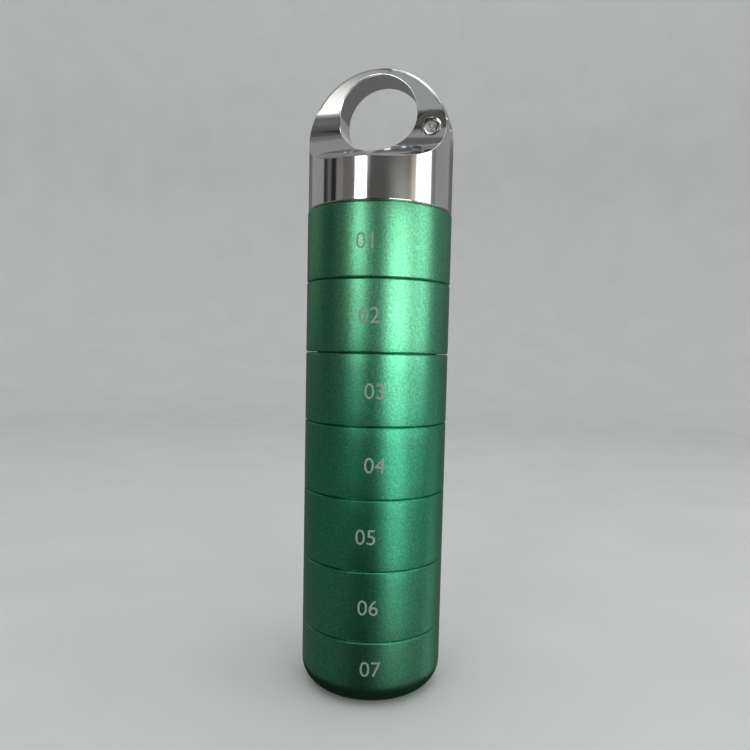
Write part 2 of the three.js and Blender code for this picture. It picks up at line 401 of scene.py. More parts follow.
def socket_corners(lip_radius):
    """Under a cup or the cap, from the axis: ceiling, socket wall, mouth, skirt and lower lip."""
    return [
        (0, CEILING, 0),
        (SOCKET_RADIUS, CEILING, SMALL_ROUND),
        (SOCKET_RADIUS, SEAM_HALF + MOUTH_BEVEL, SMALL_ROUND),
        (SOCKET_RADIUS + MOUTH_BEVEL, SEAM_HALF, SMALL_ROUND),
        (lip_radius - LIP_BEVEL, SEAM_HALF, LIP_ROUND),
        (lip_radius, SEAM_HALF + LIP_BEVEL, LIP_ROUND),
    ]


def neck_corners(seam, floor):
    """Upper lip, shoulder, neck, rim and compartment of a cup, down to its floor on the axis."""
    shoulder = seam - SEAM_HALF
    rim = seam + NECK_RISE
    return [
        (CUP_RADIUS, shoulder - LIP_BEVEL, LIP_ROUND),
        (CUP_RADIUS - LIP_BEVEL, shoulder, LIP_ROUND),
        (RELIEF_RADIUS, shoulder, SMALL_ROUND),
        (RELIEF_RADIUS, seam + RELIEF_TOP - (NECK_ROOT - RELIEF_RADIUS), 0),
        (NECK_ROOT, seam + RELIEF_TOP, 0),
        (NECK_ROOT, rim - RIM_BEVEL, SMALL_ROUND),
        (NECK_ROOT - RIM_BEVEL, rim, SMALL_ROUND),
        (BORE_RADIUS, rim, SMALL_ROUND),
        (BORE_RADIUS, floor, FLOOR_ROUND),
        (0, floor, 0),
    ]


def cup_mesh(day):
    """A cup as one closed turned surface, threaded on its neck and, above the lowest cup, in its socket."""
    angles = round_turn(COLUMNS_ROUND_A_CUP)
    if day == "saturday":
        under = [(0, 0, 0), (CUP_RADIUS, 0, FOOT_ROUND)]
        seam, floor, socket_seam = LAST_CUP_HEIGHT, LAST_FLOOR_THICKNESS, None
    else:
        under = socket_corners(CUP_RADIUS)
        seam, floor, socket_seam = CUP_PITCH, CEILING + FLOOR_THICKNESS, 0.0
    corners = under + neck_corners(seam, floor)
    profile = corners_rounded(corners, FOOT_ROUND_STEPS if socket_seam is None else ROUND_STEPS)
    walls = np.isclose(profile[:, 0], NECK_ROOT) | np.isclose(profile[:, 0], SOCKET_RADIUS)
    profile = rows_along(profile, walls, THREAD_ROW)
    radius = with_threads(profile, angles, socket_seam, seam)
    return mesh_from(day + "_turned_cup", *turned(profile, angles, radius))


def gasket_mesh(name):
    """A flat washer with rounded edges."""
    inner = BORE_RADIUS
    outer = BORE_RADIUS + GASKET_WIDTH
    top = GASKET_BASE + GASKET_THICKNESS
    r = GASKET_ROUND
    half_way = (inner + outer) / 2
    section = corners_rounded([
        (half_way, GASKET_BASE, 0), (outer, GASKET_BASE, r), (outer, top, r),
        (inner, top, r), (inner, GASKET_BASE, r), (half_way, GASKET_BASE, 0),
    ])[:-1]
    angles = round_turn(COLUMNS_ROUND_A_CUP // 2)
    return mesh_from(name, *ring_turned(section, angles))


def face_point(x, along, inset=0.0):
    """Front face of the ring at x and at a length along its curve, which is flat above the scoop and follows
    the scoop's arc below it; inset moves the point into the metal. Also gives the outward normal."""
    turn = np.maximum(-along, 0) / SCOOP_RADIUS
    y = -(FLAT_HALF + SCOOP_RADIUS * (1 - np.cos(turn)))
    z = SCOOP_RISE + np.maximum(along, 0) - SCOOP_RADIUS * np.sin(turn)
    normal = points_of(0 * x, -np.cos(turn), np.sin(turn))
    return points_of(x, y, z) - np.expand_dims(inset, -1) * normal, normal


def outside_level(point, radius):
    """Zero on the dome and the collar: distance from the axis, or from the dome's middle above it."""
    above = np.maximum(point[..., 2] - DOME_RISE, 0)
    return np.sqrt(point[..., 0] ** 2 + point[..., 1] ** 2 + above ** 2) - radius


def outside_normal(point):
    """Outward unit vector of the dome and the collar."""
    above = np.maximum(point[..., 2] - DOME_RISE, 0)
    return unit(points_of(point[..., 0], point[..., 1], above))


def hole_level(point, radius):
    """Zero on a cylinder of that radius about the hole's axis, positive outside it."""
    return np.hypot(point[..., 0], point[..., 2] - HOLE_RISE) - radius


def hole_normal(point):
    """Unit vector from the hole's wall towards the hole's axis, which is out of the metal."""
    return unit(points_of(-point[..., 0], 0.0, HOLE_RISE - point[..., 2]))


def crossing(level, directions, hole_along, reach, inset):
    """Where rays on the unrolled face meet a surface whose level grows along them, by halving the reach."""
    low = np.zeros_like(directions)
    high = np.full_like(directions, reach)
    for _ in range(HALVINGS):
        middle = (low + high) / 2
        point, _ = face_point(middle * np.cos(directions), hole_along + middle * np.sin(directions), inset)
        inside = level(point) < 0
        low = np.where(inside, middle, low)
        high = np.where(inside, high, middle)
    return (low + high) / 2


def turned_between(a, b, share):
    """The unit vector a share of the way round from a to b."""
    angle = np.arccos(np.clip(np.sum(a * b, -1), -1, 1))[..., None]
    return (np.sin((1 - share) * angle) * a + np.sin(share * angle) * b) / np.maximum(np.sin(angle), TINY)


def edge_strip(centre, ball, face_normal, other_normal, rows, flatness):
    """Rows across an edge between two surfaces that a ball rolling along it touches. With flatness 0 they
    follow the ball, and with flatness 1 the chord between the two touching points, with its ends rounded."""
    points, normals = [], []
    for t in np.linspace(0, 1, rows):
        across = turned_between(face_normal, other_normal, np.full(flatness.shape + (1,), t))
        chord = (1 - t) * face_normal + t * other_normal
        level = 0.5 * min(t / CHORD_END_SHARE, 1) + 0.5 * max((t - 1 + CHORD_END_SHARE) / CHORD_END_SHARE, 0)
        share = (1 - flatness) * t + flatness * level
        points.append(centre + ball[..., None] * (across + flatness[..., None] * (chord - across)))
        normals.append(turned_between(face_normal, other_normal, share[..., None]))
    return np.stack(points), np.stack(normals)


def on_outside(point, y):
    """The point of the dome or collar with that y which lies beside the given one, across the ring's edge."""
    above = np.maximum(point[..., 2] - DOME_RISE, 0)
    stretch = np.sqrt(CAP_RADIUS ** 2 - y ** 2) / np.hypot(point[..., 0], above)
    z = np.where(point[..., 2] > DOME_RISE, DOME_RISE + above * stretch, point[..., 2])
    return points_of(point[..., 0] * stretch, y, z)


class Patches:
    """Grids of points with their normals, welded where they share an edge."""

    def __init__(self):
        self.points, self.normals, self.known, self.faces, self.count = [], [], [], [], 0

    def add(self, points, normals, wrap=False, flipped=False):
        """Adds a grid. Rows then columns run anticlockwise seen from outside, or clockwise where flipped."""
        rows, columns = points.shape[:2]
        faces = grid_faces(rows, columns, wrap) + self.count
        self.faces.append(faces[:, ::-1] if flipped else faces)
        self.points.append(points.reshape(-1, 3))
        known = normals is not None
        self.normals.append(normals.reshape(-1, 3) if known else np.zeros((rows * columns, 3)))
        self.known.append(np.full(rows * columns, known))
        self.count += rows * columns

    def add_both(self, points, normals, wrap=False, flipped=False):
        """Adds a grid on the front and its mirror image on the back."""
        mirror = np.array([1, -1, 1])
        self.add(points, normals, wrap, flipped)
        self.add(points * mirror, normals * mirror, wrap, not flipped)

    def welded(self):
        """All points with doubles merged, the faces, and the sum of the known normals at each point. A quad
        with one side closed up becomes a triangle of its corners in order."""
        points = np.concatenate(self.points)
        normals = np.concatenate(self.normals)
        known = np.concatenate(self.known)
        keys = np.round(points / WELD_DISTANCE).astype(np.int64)
        _, first, where = np.unique(keys, axis=0, return_index=True, return_inverse=True)
        where = where.ravel()
        faces = where[np.concatenate(self.faces)]
        summed = np.zeros((len(first), 3))
        np.add.at(summed, where[known], normals[known])
        earlier = np.tril(np.ones((4, 4), bool), -1)
        seen = ((faces[:, :, None] == faces[:, None, :]) & earlier).any(-1)
        closed_up = seen.sum(1) == 1
        triangles = faces[closed_up][~seen[closed_up]].reshape(-1, 3)
        return points[first], [faces[~closed_up], triangles], summed


def head_patches():
    """Outside of the cap: both faces, both edges of the hole, its wall, the outer edges, dome and collar.
    Every column starts at the hole's edge at its own direction and runs outwards over the unrolled face."""
    columns = COLUMNS_ROUND_THE_CAP
    directions = -math.pi / 2 + 2 * math.pi * np.arange(columns) / columns
    hole_along = -SCOOP_RADIUS * math.asin((SCOOP_RISE - HOLE_RISE) / SCOOP_RADIUS)
    reach = FACE_REACH_SHARE * CAP_RADIUS
    patches = Patches()

    # Hole edge: ball centres on both inset surfaces, then the two touching points
    def past_hole(point):
        return hole_level(point, HOLE_RADIUS + HOLE_EDGE_ROUND)
    hole_ray = crossing(past_hole, directions, hole_along, reach, HOLE_EDGE_ROUND)
    hole_x = hole_ray * np.cos(directions)
    hole_s = hole_along + hole_ray * np.sin(directions)
    centre, normal = face_point(hole_x, hole_s, HOLE_EDGE_ROUND)
    round_ball = np.full(columns, HOLE_EDGE_ROUND)
    points, normals = edge_strip(centre, round_ball, normal, hole_normal(centre), HOLE_EDGE_ROWS,
                                 np.zeros(columns))
    patches.add_both(points, normals, wrap=True)

    # Wall of the hole, from the front edge to the back one
    front = points[-1]
    share = np.linspace(1, -1, HOLE_WALL_ROWS)[:, None]
    wall = points_of(front[:, 0], front[:, 1] * share, front[:, 2])
    patches.add(wall, hole_normal(wall), wrap=True)

    # Outer edge: bevelled beside the flat, and hardly broken along the scoops
    def edge_at(ball):
        def past_outside(point):
            return outside_level(point, CAP_RADIUS - ball)
        return crossing(past_outside, directions, hole_along, reach, ball)
    sharp_ray = edge_at(np.full(columns, OUTER_EDGE_ROUND))
    on_flat = np.clip((hole_along + sharp_ray * np.sin(directions)) / BEVEL_FADE, 0, 1)
    flatness = on_flat * on_flat * (3 - 2 * on_flat)
    ball = OUTER_EDGE_ROUND + (BEVEL_BALL - OUTER_EDGE_ROUND) * flatness
    outer_ray = edge_at(ball)
    outer_x = outer_ray * np.cos(directions)
    outer_s = hole_along + outer_ray * np.sin(directions)
    centre, normal = face_point(outer_x, outer_s, ball)
    points, normals = edge_strip(centre, ball, normal, outside_normal(centre), OUTER_EDGE_ROWS, flatness)
    patches.add_both(points, normals, wrap=True, flipped=True)
    outline = points[-1]

    # Face, from the hole's edge to the outer one along each ray
    share = np.linspace(0, 1, FACE_ROWS)[:, None]
    points, normals = face_point(hole_x + (outer_x - hole_x) * share, hole_s + (outer_s - hole_s) * share)
    patches.add_both(points, normals, wrap=True, flipped=True)

    # Dome, as a strip over the top from the front outline to the back one
    split = int(np.argmax(outline[:, 2] > SPLIT_RISE))
    arch = outline[split:columns - split + 1]
    share = np.linspace(1, -1, DOME_ROWS)[:, None]
    strip = on_outside(arch[None], arch[None, :, 1] * share)
    patches.add(strip, outside_normal(strip), flipped=True)

    # Collar, straight down from the outline and from the two ends of the dome's strip
    around = np.arange(-split, split + 1)
    front = outline[around]
    right = strip[1:-1, 0]
    left = strip[1:-1, -1]
    back = front[::-1] * np.array([1, -1, 1])
    top = np.concatenate([front, right, back, left[::-1]])
    low = SEAM_HALF + LIP_BEVEL + LIP_ROUND
    drop = np.linspace(0, 1, COLLAR_ROWS)[:, None]
    band = points_of(top[:, 0], top[:, 1], top[:, 2] + (low - top[:, 2]) * drop)
    patches.add(band, outside_normal(band), wrap=True, flipped=True)
    return patches, band[-1]


def uncut_cap():
    """The whole cap before the gate is cut from it, and a tree to look its smooth normals up in."""
    patches, rim = head_patches()
    angles = np.arctan2(rim[:, 1], rim[:, 0])
    corners = socket_corners(CAP_RADIUS) + [(CAP_RADIUS, rim[0, 2], 0)]
    profile = corners_rounded(corners)[1:]
    profile = rows_along(profile, np.isclose(profile[:, 0], SOCKET_RADIUS), CAP_THREAD_ROW)
    radius = with_threads(profile, angles, 0.0, None)
    grid = about_axis(radius, profile[:, 1:], angles)
    grid[-1] = rim
    patches.add(grid, None, wrap=True)
    middle = np.broadcast_to(np.array([0, 0, CEILING]), grid[0].shape)
    patches.add(np.stack([middle, grid[0]]), None, wrap=True)
    points, faces, given = patches.welded()
    mesh = mesh_from("uncut_cap", points, faces)
    own = read_from(mesh.vertex_normals, "vector", 3)
    length = np.linalg.norm(given, axis=1, keepdims=True)
    normals = np.where(length > 0, given / np.maximum(length, TINY), own)
    mesh.calc_loop_triangles()
    triangles = read_from(mesh.loop_triangles, "vertices", 3, np.int32)
    tree = BVHTree.FromPolygons(points.tolist(), triangles.tolist())
    return mesh, (tree, points, triangles, normals)


def arc_round_pin(radius, start, end, steps):
    """Points [x, z] on an arc round the pin."""
    turn = np.linspace(start, end, steps + 1)
    return np.stack([PIN_X + radius * np.cos(turn), PIN_Z + radius * np.sin(turn)], -1)


def plate_mesh(name, outline, from_y, to_y):
    """An outline of [x, z] points, anticlockwise seen from the front, as a closed plate between two y."""
    count = len(outline)
    front = points_of(outline[:, 0], from_y, outline[:, 1])
    back = points_of(outline[:, 0], to_y, outline[:, 1])
    here = np.arange(count)
    beside = np.roll(here, -1)
    sides = np.stack([here, here + count, beside + count, beside], -1)
    ends = [here[None, :], (here[::-1] + count)[None, :]]
    return mesh_from(name, np.concatenate([front, back]), [*ends, sides])


def bar_mesh(name, radius, from_y, to_y):
    """A round bar along Y at the pin."""
    return plate_mesh(name, arc_round_pin(radius, 0, 2 * math.pi, PIN_SIDES)[:-1], from_y, to_y)


def sector_mesh(name, radius, ends, from_y, to_y):
    """A slice of a round bar along Y at the pin, between two angles."""
    arc = arc_round_pin(radius, *ends, ARC_STEPS)
    return plate_mesh(name, np.concatenate([[[PIN_X, PIN_Z]], arc]), from_y, to_y)


def gate_region(name, hinge_radius, lift):
    """All that swings: outside a circle round the pin and under the nose seam, which is raised by lift."""
    along = np.array([math.cos(SEAM_SLOPE), math.sin(SEAM_SLOPE)])
    across = np.array([-along[1], along[0]])
    start = np.array([NOSE_REACH, HOLE_RISE + HOLE_RADIUS]) + lift * across
    far = CAP_RADIUS + BEYOND
    shoulder = SHOULDER_ANGLE - lift / hinge_radius
    round_pin = arc_round_pin(hinge_radius, shoulder, KNUCKLE_END_ANGLE, KNUCKLE_STEPS)
    outline = np.array([
        [HOLE_RADIUS / 2, round_pin[-1, 1]],
        start - RING_BAND * along,
        start + 4 * RING_BAND * along,
        [far, DOME_TOP],
        [far, PIN_Z + (far - PIN_X) * math.tan(shoulder)],
        *round_pin,
    ])[::-1]
    return plate_mesh(name, outline, -far, far)


def combined(mesh, cutters, operation):
    """A mesh cut by, joined with or cut down to others."""
    body = linked("body_to_cut", mesh)
    others = [linked("cutter", cutter) for cutter in cutters]
    for other in others:
        step = body.modifiers.new("cut", "BOOLEAN")
        step.operation = operation
        step.solver = "EXACT"
        step.object = other
    result = worked_out(body)
    for obj in [body, *others]:
        bpy.data.objects.remove(obj)
    return result


def nearest_triangles(tree, places):
    """The triangle of the uncut cap nearest to each place, and how far off it is."""
    found = [tree.find_nearest(place) for place in places.tolist()]
    return np.array([hit[2] for hit in found]), np.array([hit[3] for hit in found])


def read_from(collection, key, width, kind=np.float32):
    """A property of a mesh's vertices, loops or faces as an array."""
    values = np.zeros(len(collection) * width, kind)
    collection.foreach_get(key, values)
    return values.reshape(-1, width) if width > 1 else values


def mixed_normals(places, corners, normals):
    """Normal at each place in its triangle, mixed from the triangle's corners by their areas."""
    u, v, w = corners[:, 1] - corners[:, 0], corners[:, 2] - corners[:, 0], places - corners[:, 0]
    uu, uv, vv = np.sum(u * u, -1), np.sum(u * v, -1), np.sum(v * v, -1)
    wu, wv = np.sum(w * u, -1), np.sum(w * v, -1)
    size = np.maximum(uu * vv - uv * uv, TINY)
    b = np.clip((vv * wu - uv * wv) / size, 0, 1)[:, None]
    c = np.clip((uu * wv - uv * wu) / size, 0, 1)[:, None]
    return unit(normals[:, 0] * (1 - b - c) + normals[:, 1] * b + normals[:, 2] * c)


def give_normals(mesh, lookup):
    """Sets each corner's normal. Where a face lies on the uncut cap it takes the exact normal of that
    surface, on a cut round the pin it points to or from the pin's axis, and on a flat cut it is the
    face's own."""
    tree, points, triangles, normals = lookup
    mesh.shade_smooth()
    co = read_from(mesh.vertices, "co", 3).astype(float)
    corner_vertex = read_from(mesh.loops, "vertex_index", 1, np.int32)
    totals = read_from(mesh.polygons, "loop_total", 1, np.int32)
    own = read_from(mesh.polygons, "normal", 3).astype(float)
    index, distance = nearest_triangles(tree, read_from(mesh.polygons, "center", 3))
    a, b, c = (points[triangles[index, k]] for k in range(3))
    flat = np.cross(b - a, c - a)
    size = np.linalg.norm(flat, axis=1)
    agreeing = np.abs(np.sum(flat * own, -1)) > SAME_WAY * np.maximum(size, TINY)
    face_kept = (distance < SAME_SURFACE) & agreeing
    index, _ = nearest_triangles(tree, co)
    smooth = mixed_normals(co, points[triangles[index]], normals[triangles[index]])
    arm = unit((co - [PIN_X, 0, PIN_Z]) * [1, 0, 1])
    corner_own = np.repeat(own, totals, axis=0)
    kept = np.repeat(face_kept, totals)
    wanted = smooth[corner_vertex]
    facing = np.sum(arm[corner_vertex] * corner_own, -1)
    round_cut = ~kept & (np.abs(facing) > SAME_ROUND_WAY)
    wanted[round_cut] = arm[corner_vertex][round_cut] * np.sign(facing[round_cut])[:, None]
    plain = (~kept & ~round_cut) | (np.sum(wanted * corner_own, -1) <= 0)
    wanted[plain] = corner_own[plain]
    mesh.normals_split_custom_set(wanted.tolist())


def face_half_at(height):
    """Half thickness of the ring at a height."""
    drop = np.clip(SCOOP_RISE - height, 0, SCOOP_RADIUS)
    return FLAT_HALF + SCOOP_RADIUS - math.sqrt(SCOOP_RADIUS ** 2 - drop ** 2)


def cap_and_gate():
    """The cap with the gate's space, slot, counterbores and pin hole cut from it, the gate with its tongue,
    and how far from the middle the rivet's heads end."""
    whole, lookup = uncut_cap()
    far = CAP_RADIUS + BEYOND
    pin_end = face_half_at(PIN_Z) - PIN_RECESS
    bore_floor = pin_end - PIN_HEAD_THICKNESS - SEAM_HALF
    cutters = [
        gate_region("space_for_gate", KNUCKLE_RADIUS, GATE_GAP),
        bar_mesh("slot", SLOT_RADIUS, -SLOT_HALF, SLOT_HALF),
        bar_mesh("front_counterbore", COUNTERBORE_RADIUS, -far, -bore_floor),
        bar_mesh("back_counterbore", COUNTERBORE_RADIUS, bore_floor, far),
        bar_mesh("pin_hole", PIN_RADIUS + SEAM_HALF, -far, far),
    ]
    cap = combined(whole.copy(), cutters, "DIFFERENCE")
    give_normals(cap, lookup)
    gate = combined(whole.copy(), [gate_region("gate_itself", KNUCKLE_RADIUS + GATE_GAP, 0.0)], "INTERSECT")
    # The inner end of the knuckle is cut back a little, so that it passes the cap's round seat when it swings
    relief = sector_mesh("inner_relief", GATE_END_RADIUS, GATE_END_ANGLES, -far, far)
    gate = combined(gate, [relief], "DIFFERENCE")
    tongue = [
        bar_mesh("eye", TONGUE_RADIUS, TONGUE_FROM_Y, TONGUE_TO_Y),
        sector_mesh("stem", STEM_RADIUS, STEM_ANGLES, TONGUE_FROM_Y, TONGUE_TO_Y),
    ]
    gate = combined(gate, tongue, "UNION")
    gate = combined(gate, [bar_mesh("gate_bore", GATE_BORE_RADIUS, -SLOT_HALF, SLOT_HALF)], "DIFFERENCE")
    give_normals(gate, lookup)
    return cap, gate, pin_end


def pin_mesh(end):
    """The rivet: a shank with a rounded head at each end, turned about its own axis and laid along Y."""
    neck = end - PIN_HEAD_THICKNESS
    corners = [(0, -end, 0), (PIN_HEAD_RADIUS, -end, PIN_HEAD_ROUND), (PIN_HEAD_RADIUS, -neck, SMALL_ROUND),
               (PIN_RADIUS, -neck, SMALL_ROUND)]
    mirrored = [(radius, -height, rounding) for radius, height, rounding in corners[::-1]]
    profile = filled_in(corners_rounded(corners + mirrored, ROUND_STEPS), PIN_ROW)
    points, faces = turned(profile, round_turn(PIN_SIDES))
    return mesh_from("rivet", points_of(PIN_X + points[:, 0], points[:, 2], PIN_Z - points[:, 1]), faces)


def spring_mesh():
    """The torsion spring: a round wire along a helix about the pin, with a short leg at each end. The path is
    worked out first, and the wire's rings stand square to it in a frame that turns with the helix."""
    coil = PIN_RADIUS + RUNNING_GAP + WIRE_RADIUS
    leg = KNUCKLE_RADIUS - RUNNING_GAP - WIRE_RADIUS
    start_y = -SLOT_HALF + RUNNING_GAP + WIRE_RADIUS
    turns = np.concatenate([
        np.linspace(-SPRING_LEG_TURNS, 0, SPRING_LEG_STEPS)[:-1],
        np.linspace(0, SPRING_TURNS, SPRING_STEPS),
        np.linspace(SPRING_TURNS, SPRING_TURNS + SPRING_LEG_TURNS, SPRING_LEG_STEPS)[1:],
    ])
    past = np.clip(np.maximum(-turns, turns - SPRING_TURNS) / SPRING_LEG_TURNS, 0, 1)
    radius = coil + (leg - coil) * past ** SPRING_LEG_CURVE
    angle = math.pi / 2 - 2 * math.pi * turns
    y = start_y + COIL_PITCH * turns
    path = points_of(PIN_X + radius * np.cos(angle), y, PIN_Z + radius * np.sin(angle))
    forward = unit(np.gradient(path, axis=0))
    side = unit(np.cross(forward, [0, 1, 0]))
    up = np.cross(side, forward)
    around = round_turn(WIRE_SIDES)
    ring = np.cos(around)[None, :, None] * side[:, None] + np.sin(around)[None, :, None] * up[:, None]
    points, faces = closed_tube(path[:, None] + WIRE_RADIUS * ring, path[[0, -1]])
    return mesh_from("spring_wire", points, [corners[:, ::-1] for corners in faces])


def number_mesh(text, azimuth, middle):
    """A number as a thin plate bent round the cup: x along the text becomes an angle, x / radius, counted
    from the front, and the plate's depth becomes the radius."""
    curve = bpy.data.curves.new("number_outline", "FONT")
    curve.body = text
    curve.align_x = "CENTER"
    curve.align_y = "CENTER"
    curve.size = NUMBER_HEIGHT / NUMERAL_SHARE
    curve.resolution_u = ROUND_STEPS
    curve.extrude = (NUMBER_PROUD + NUMBER_DEPTH) / 2
    holder = linked("number_outline", curve)
    mesh = worked_out(holder)
    bpy.data.objects.remove(holder)
    cut_in_strips(mesh, STRIP_WIDTH)
    co = read_from(mesh.vertices, "co", 3).astype(float)
    middle_x = (co[:, 0].max() + co[:, 0].min()) / 2
    middle_y = (co[:, 1].max() + co[:, 1].min()) / 2
    angle = azimuth + (co[:, 0] - middle_x) / CUP_RADIUS
    radius = CUP_RADIUS + NUMBER_PROUD + co[:, 2] - co[:, 2].max()
    bent = points_of(radius * np.sin(angle), -radius * np.cos(angle), middle + co[:, 1] - middle_y)
    mesh.vertices.foreach_set("co", bent.astype(np.float32).ravel())
    mesh.update()
    return mesh


def cut_in_strips(mesh, spacing):
    """Cuts a flat mesh along upright planes, so that it can follow a curve."""
    work = bmesh.new()
    work.from_mesh(mesh)
    bmesh.ops.remove_doubles(work, verts=work.verts, dist=TEXT_WELD)
    xs = [v.co.x for v in work.verts]
    for x in np.arange(min(xs) + spacing / 2, max(xs), spacing):
        parts = work.verts[:] + work.edges[:] + work.faces[:]
        bmesh.ops.bisect_plane(work, geom=parts, plane_co=(x, 0, 0), plane_no=(1, 0, 0), dist=ON_THE_CUT)
    bmesh.ops.triangulate(work, faces=work.faces)
    bmesh.ops.recalc_face_normals(work, faces=work.faces)
    work.to_mesh(mesh)
    work.free()


# Materials

class Finish:
    """A material being made: its nodes, its links and its shader."""

    def __init__(self, name):
        self.material = bpy.data.materials.new(name)
        self.material.use_nodes = True
        self.nodes = self.material.node_tree.nodes
        self.links = self.material.node_tree.links
        self.shader = self.nodes["Principled BSDF"]
        self.place = None

    def give(self, socket, value):
        """Links the output of another node to a socket, or sets the socket to a plain value."""
        if isinstance(value, bpy.types.NodeSocket):
            self.links.new(value, socket)
        elif socket.type == "RGBA":
            socket.default_value = (*value, 1)
        else:
            socket.default_value = value

    def node(self, kind, inputs, **settings):
        """A new node with its settings, and then its inputs, which are given by name or by number."""
        node = self.nodes.new("ShaderNode" + kind)
        for key, value in settings.items():
            setattr(node, key, value)
        for key, value in inputs.items():
            self.give(node.inputs[key], value)
        return node

    def object_place(self):
        """Object coordinates, from one node that all the patterns share."""
        if self.place is None:
            self.place = self.node("TexCoord", {}).outputs["Object"]
        return self.place

    def noise(self, scale, detail=2.0, stretch=None):
        """Noise with that many features to the metre, stretched by a scale for each axis if one is given."""
        place = self.object_place()
        if stretch:
            place = self.node("Mapping", {"Scale": stretch, "Vector": place}).outputs["Vector"]
        return self.node("TexNoise", {"Scale": scale, "Detail": detail, "Vector": place}).outputs["Fac"]

    def between(self, value, low, high, low_in=0.3, high_in=0.7):
        """Maps a value, which is a noise unless it comes with its own range, to a range."""
        ends = {"From Min": low_in, "From Max": high_in, "To Min": low, "To Max": high, "Value": value}
        return self.node("MapRange", ends).outputs["Result"]

    def faded_in(self, value, start, end):
        """A smooth step of a value, from 0 at start to 1 at end."""
        ends = {"From Min": start, "From Max": end, "Value": value}
        return self.node("MapRange", ends, interpolation_type="SMOOTHSTEP").outputs["Result"]

    def mixed(self, factor, first, second, blend="MIX"):
        """A colour that goes from the first to the second as the factor grows, or their product."""
        colours = {"Factor": factor, "A": first, "B": second}
        return self.node("Mix", colours, data_type="RGBA", blend_type=blend).outputs["Result"]

    def mottled(self, noise, first, second):
        """A colour between the first and the second wherever a noise takes it."""
        return self.mixed(self.between(noise, 0, 1), first, second)

    def bumped(self, *heights):
        """Chains bumps, each given as (height, distance in metres, strength)."""
        before = {}
        for height, distance, strength in heights:
            bump = self.node("Bump", {"Height": height, "Distance": distance, "Strength": strength, **before})
            before = {"Normal": bump.outputs["Normal"]}
        return before["Normal"]

    def shaded(self, inputs):
        """The finished material, with its shader's inputs given."""
        for key, value in inputs.items():
            self.give(self.shader.inputs[key], value)
        return self.material


# Share of the dye's red that is left at shares of the column's height: the middle cups took a deeper green
DYE_RED_SHARES = [(0.0, 1.0), (0.36, 0.54), (0.52, 0.56), (0.8, 0.92), (1.0, 0.96)]


def dye_depth(finish):
    """A tint that changes slowly up the column."""
    split = finish.node("SeparateXYZ", {"Vector": finish.object_place()})
    height = finish.between(split.outputs["Z"], 0, 1, 0, CAP_SEAM * MM)
    ramp = finish.node("ValToRGB", {"Fac": height})
    stops = ramp.color_ramp.elements
    for share, _ in DYE_RED_SHARES[1:-1]:
        stops.new(share)
    for stop, (share, red) in zip(stops, DYE_RED_SHARES):
        stop.position = share
        stop.color = (red, 1, 1, 1)
    return ramp.outputs["Color"]


def green_anodised():
    """Bead-blasted aluminium, dyed green: a fine blasted grain, a slightly uneven dye and a satin sheen."""
    finish = Finish("green_anodised_aluminium")
    grain = finish.noise(3000)
    dye = finish.mottled(grain, (0.095, 0.310, 0.178), (0.166, 0.543, 0.311))
    return finish.shaded({
        "Base Color": finish.mixed(1.0, dye, dye_depth(finish), "MULTIPLY"),
        "Metallic": 1.0,
        "Roughness": finish.between(finish.noise(90), 0.335, 0.365),
        "Normal": finish.bumped((grain, 2.4e-5, 1.0)),
    })


def polished_cap():
    """Mirror polish with the faint haze and hair lines that a buffing wheel leaves."""
    finish = Finish("polished_metal")
    haze = finish.noise(160, 3.0)
    hairs = finish.noise(700, stretch=(1.0, 1.0, 14.0))
    return finish.shaded({
        "Base Color": finish.mottled(haze, (0.80, 0.81, 0.82), (0.86, 0.87, 0.875)),
        "Metallic": 1.0,
        "Roughness": finish.between(haze, 0.055, 0.105),
        "Normal": finish.bumped((finish.noise(420), 1e-5, 0.2), (hairs, 2e-6, 0.25)),
    })


def turned_steel():
    """Steel with the fine rings of a lathe round the pin's axis."""
    finish = Finish("turned_steel")
    centred = finish.node("Mapping", {
        "Location": (-PIN_X * MM, 0, -(PIN_Z + CAP_SEAM) * MM),
        "Scale": (1, 0, 1),
        "Vector": finish.object_place(),
    }).outputs["Vector"]
    turning = {"Scale": 2200, "Distortion": 1.5, "Detail": 2.0, "Vector": centred}
    rings = finish.node("TexWave", turning, wave_type="RINGS", rings_direction="SPHERICAL").outputs["Fac"]
    stain = finish.noise(1500, 3.0)
    return finish.shaded({
        "Base Color": finish.mottled(stain, (0.26, 0.26, 0.26), (0.44, 0.44, 0.43)),
        "Metallic": 1.0,
        "Roughness": finish.between(stain, 0.15, 0.26),
        "Normal": finish.bumped((rings, 4e-6, 0.3), (stain, 1e-5, 0.3)),
    })


def black_rubber():
    """Matt moulded rubber with a fine bloom."""
    finish = Finish("black_rubber")
    bloom = finish.noise(900, 3.0)
    return finish.shaded({
        "Base Color": finish.mottled(bloom, (0.012, 0.012, 0.013), (0.028, 0.028, 0.030)),
        "Roughness": finish.between(bloom, 0.7, 0.9),
        "Normal": finish.bumped((bloom, 2e-5, 0.3)),
    })


def laser_mark():
    """Bare aluminium where a laser burnt the dye away: pale, dull and finely hatched."""
    finish = Finish("laser_marked_aluminium")
    hatch = finish.noise(2600, stretch=(1.0, 1.0, 5.0))
    speck = finish.noise(3400, 3.0)
    return finish.shaded({
        "Base Color": finish.mottled(speck, (0.19, 0.26, 0.20), (0.30, 0.40, 0.31)),
        "Metallic": 0.35,
        "Roughness": finish.between(speck, 0.55, 0.75),
        "Normal": finish.bumped((hatch, 1e-5, 0.4)),
    })


def stage_paper():
    """Pale matt floor with a very faint tooth."""
    finish = Finish("pale_floor")
    tooth = finish.noise(25, 3.0)
    return finish.shaded({
        "Base Color": finish.mottled(tooth, (0.55, 0.555, 0.555), (0.58, 0.585, 0.585)),
        "Roughness": 0.9,
    })


